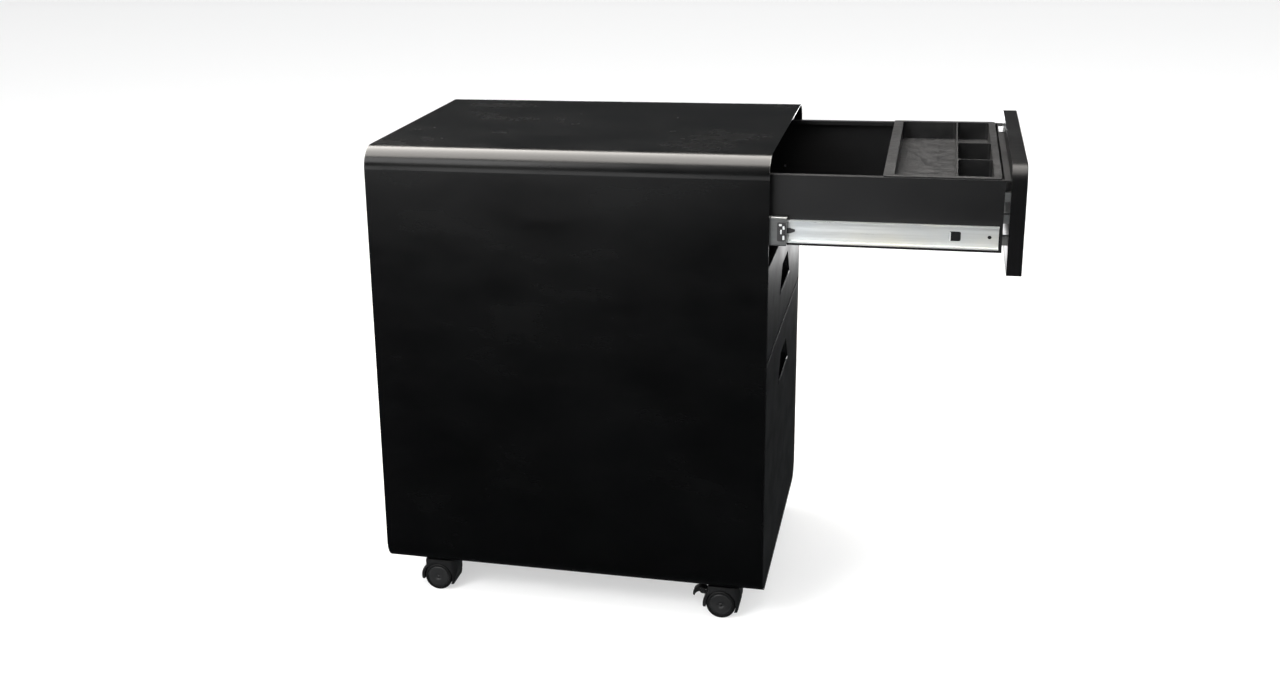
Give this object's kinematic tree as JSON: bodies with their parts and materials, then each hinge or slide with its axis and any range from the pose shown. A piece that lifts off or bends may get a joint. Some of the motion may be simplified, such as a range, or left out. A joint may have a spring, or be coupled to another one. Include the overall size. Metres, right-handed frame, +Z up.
{
  "type": "rolling pedestal cabinet",
  "caption": "Slim rolling steel pedestal with rounded casing edges, telescopic drawers with finger pulls, a hanging-file drawer, a pencil tray, a cam lock and twin-wheel casters.",
  "frame": {"origin": "on the floor, under the middle of the casing", "axes": "+Z up, +X to the right seen from the front, drawers open towards -Y"},
  "size_m": [0.4, 0.7882, 0.61],
  "materials": {
    "casing_paint": "black powder coat, satin",
    "front_paint": "black powder coat, satin",
    "drawer_paint": "black powder coat, satin",
    "zinc": "bright zinc plate",
    "ball_steel": "polished",
    "screw_steel": "zinc plate",
    "tray_plastic": "fine moulded grain",
    "lock_chrome": "polished",
    "caster_plastic": "semi-gloss moulded",
    "wheel_plastic": "satin moulded",
    "axle_steel": "turned"
  },
  "bodies": {
    "casing": {"casing_wrap": "casing_paint", "back_panel": "casing_paint", "caster_channels": "zinc", "slide_uprights": "zinc", "slide_screws": "screw_steel", "lock_catch": "zinc", "caster_stems": "zinc", "caster_nuts": "screw_steel", "top_slide_outer": "zinc", "middle_slide_outer": "zinc", "file_slide_outer": "zinc"},
    "top_stage": {"top_slide_stage": "zinc", "top_ball_cages": "ball_steel"},
    "middle_stage": {"middle_slide_stage": "zinc", "middle_ball_cages": "ball_steel"},
    "file_stage": {"file_slide_stage": "zinc", "file_ball_cages": "ball_steel"},
    "top_drawer": {"top_front": "front_paint", "top_pull_scoop": "front_paint", "top_front_liner": "front_paint", "top_box": "drawer_paint", "top_box_front_wall": "drawer_paint", "top_front_spacers": "zinc", "top_screws": "screw_steel", "top_slide_inner": "zinc", "pencil_tray": "tray_plastic", "lock_housing": "lock_chrome"},
    "middle_drawer": {"middle_front": "front_paint", "middle_pull_scoop": "front_paint", "middle_front_liner": "front_paint", "middle_box": "drawer_paint", "middle_box_front_wall": "drawer_paint", "middle_front_spacers": "zinc", "middle_screws": "screw_steel", "middle_slide_inner": "zinc"},
    "file_drawer": {"file_front": "front_paint", "file_pull_scoop": "front_paint", "file_front_liner": "front_paint", "file_box": "drawer_paint", "file_box_front_wall": "drawer_paint", "file_front_spacers": "zinc", "file_screws": "screw_steel", "file_slide_inner": "zinc", "file_rails": "zinc"},
    "lock_core": {"lock_plug": "lock_chrome", "lock_cam": "lock_chrome"},
    "caster_front_left": {"hood_front_left": "caster_plastic"},
    "wheel_pair_front_left": {"wheels_front_left": "wheel_plastic", "axle_front_left": "axle_steel"},
    "caster_front_right": {"hood_front_right": "caster_plastic"},
    "wheel_pair_front_right": {"wheels_front_right": "wheel_plastic", "axle_front_right": "axle_steel"},
    "caster_rear_left": {"hood_rear_left": "caster_plastic"},
    "wheel_pair_rear_left": {"wheels_rear_left": "wheel_plastic", "axle_rear_left": "axle_steel"},
    "caster_rear_right": {"hood_rear_right": "caster_plastic"},
    "wheel_pair_rear_right": {"wheels_rear_right": "wheel_plastic", "axle_rear_right": "axle_steel"},
    "pedal_front_left": {"brake_front_left": "caster_plastic"},
    "pedal_front_right": {"brake_front_right": "caster_plastic"}
  },
  "joints": [
    {"name": "top_stage_slide", "type": "slide", "parent": "casing", "child": "top_stage", "axis": [0, -1, 0], "range_m": [-0.046, 0.154]},
    {"name": "top_drawer_slide", "type": "slide", "parent": "top_stage", "child": "top_drawer", "axis": [0, -1, 0], "range_m": [-0.239, 0.01]},
    {"name": "middle_stage_slide", "type": "slide", "parent": "casing", "child": "middle_stage", "axis": [0, -1, 0], "range_m": [0, 0.2]},
    {"name": "middle_drawer_slide", "type": "slide", "parent": "middle_stage", "child": "middle_drawer", "axis": [0, -1, 0], "range_m": [0, 0.249]},
    {"name": "file_stage_slide", "type": "slide", "parent": "casing", "child": "file_stage", "axis": [0, -1, 0], "range_m": [0, 0.2]},
    {"name": "file_drawer_slide", "type": "slide", "parent": "file_stage", "child": "file_drawer", "axis": [0, -1, 0], "range_m": [0, 0.249]},
    {"name": "lock_turn", "type": "hinge", "parent": "top_drawer", "child": "lock_core", "pos_m": [0.158, -0.536, 0.568], "axis": [0, 1, 0], "range_deg": [0, 90]},
    {"name": "swivel_front_left", "type": "hinge", "parent": "casing", "child": "caster_front_left", "pos_m": [-0.162, -0.2085, 0.044], "axis": [0, 0, 1], "continuous": true},
    {"name": "roll_front_left", "type": "hinge", "parent": "caster_front_left", "child": "wheel_pair_front_left", "pos_m": [-0.162, -0.1955, 0.019], "axis": [1, 0, 0], "continuous": true},
    {"name": "swivel_front_right", "type": "hinge", "parent": "casing", "child": "caster_front_right", "pos_m": [0.162, -0.2085, 0.044], "axis": [0, 0, 1], "continuous": true},
    {"name": "roll_front_right", "type": "hinge", "parent": "caster_front_right", "child": "wheel_pair_front_right", "pos_m": [0.162, -0.1955, 0.019], "axis": [1, 0, 0], "continuous": true},
    {"name": "swivel_rear_left", "type": "hinge", "parent": "casing", "child": "caster_rear_left", "pos_m": [-0.162, 0.175, 0.044], "axis": [0, 0, 1], "continuous": true},
    {"name": "roll_rear_left", "type": "hinge", "parent": "caster_rear_left", "child": "wheel_pair_rear_left", "pos_m": [-0.162, 0.188, 0.019], "axis": [1, 0, 0], "continuous": true},
    {"name": "swivel_rear_right", "type": "hinge", "parent": "casing", "child": "caster_rear_right", "pos_m": [0.162, 0.175, 0.044], "axis": [0, 0, 1], "continuous": true},
    {"name": "roll_rear_right", "type": "hinge", "parent": "caster_rear_right", "child": "wheel_pair_rear_right", "pos_m": [0.162, 0.188, 0.019], "axis": [1, 0, 0], "continuous": true},
    {"name": "brake_front_left", "type": "hinge", "parent": "caster_front_left", "child": "pedal_front_left", "pos_m": [-0.162, -0.1705, 0.031], "axis": [-1, 0, 0], "range_deg": [0, 14]},
    {"name": "brake_front_right", "type": "hinge", "parent": "caster_front_right", "child": "pedal_front_right", "pos_m": [0.162, -0.1705, 0.031], "axis": [-1, 0, 0], "range_deg": [0, 14]}
  ]
}
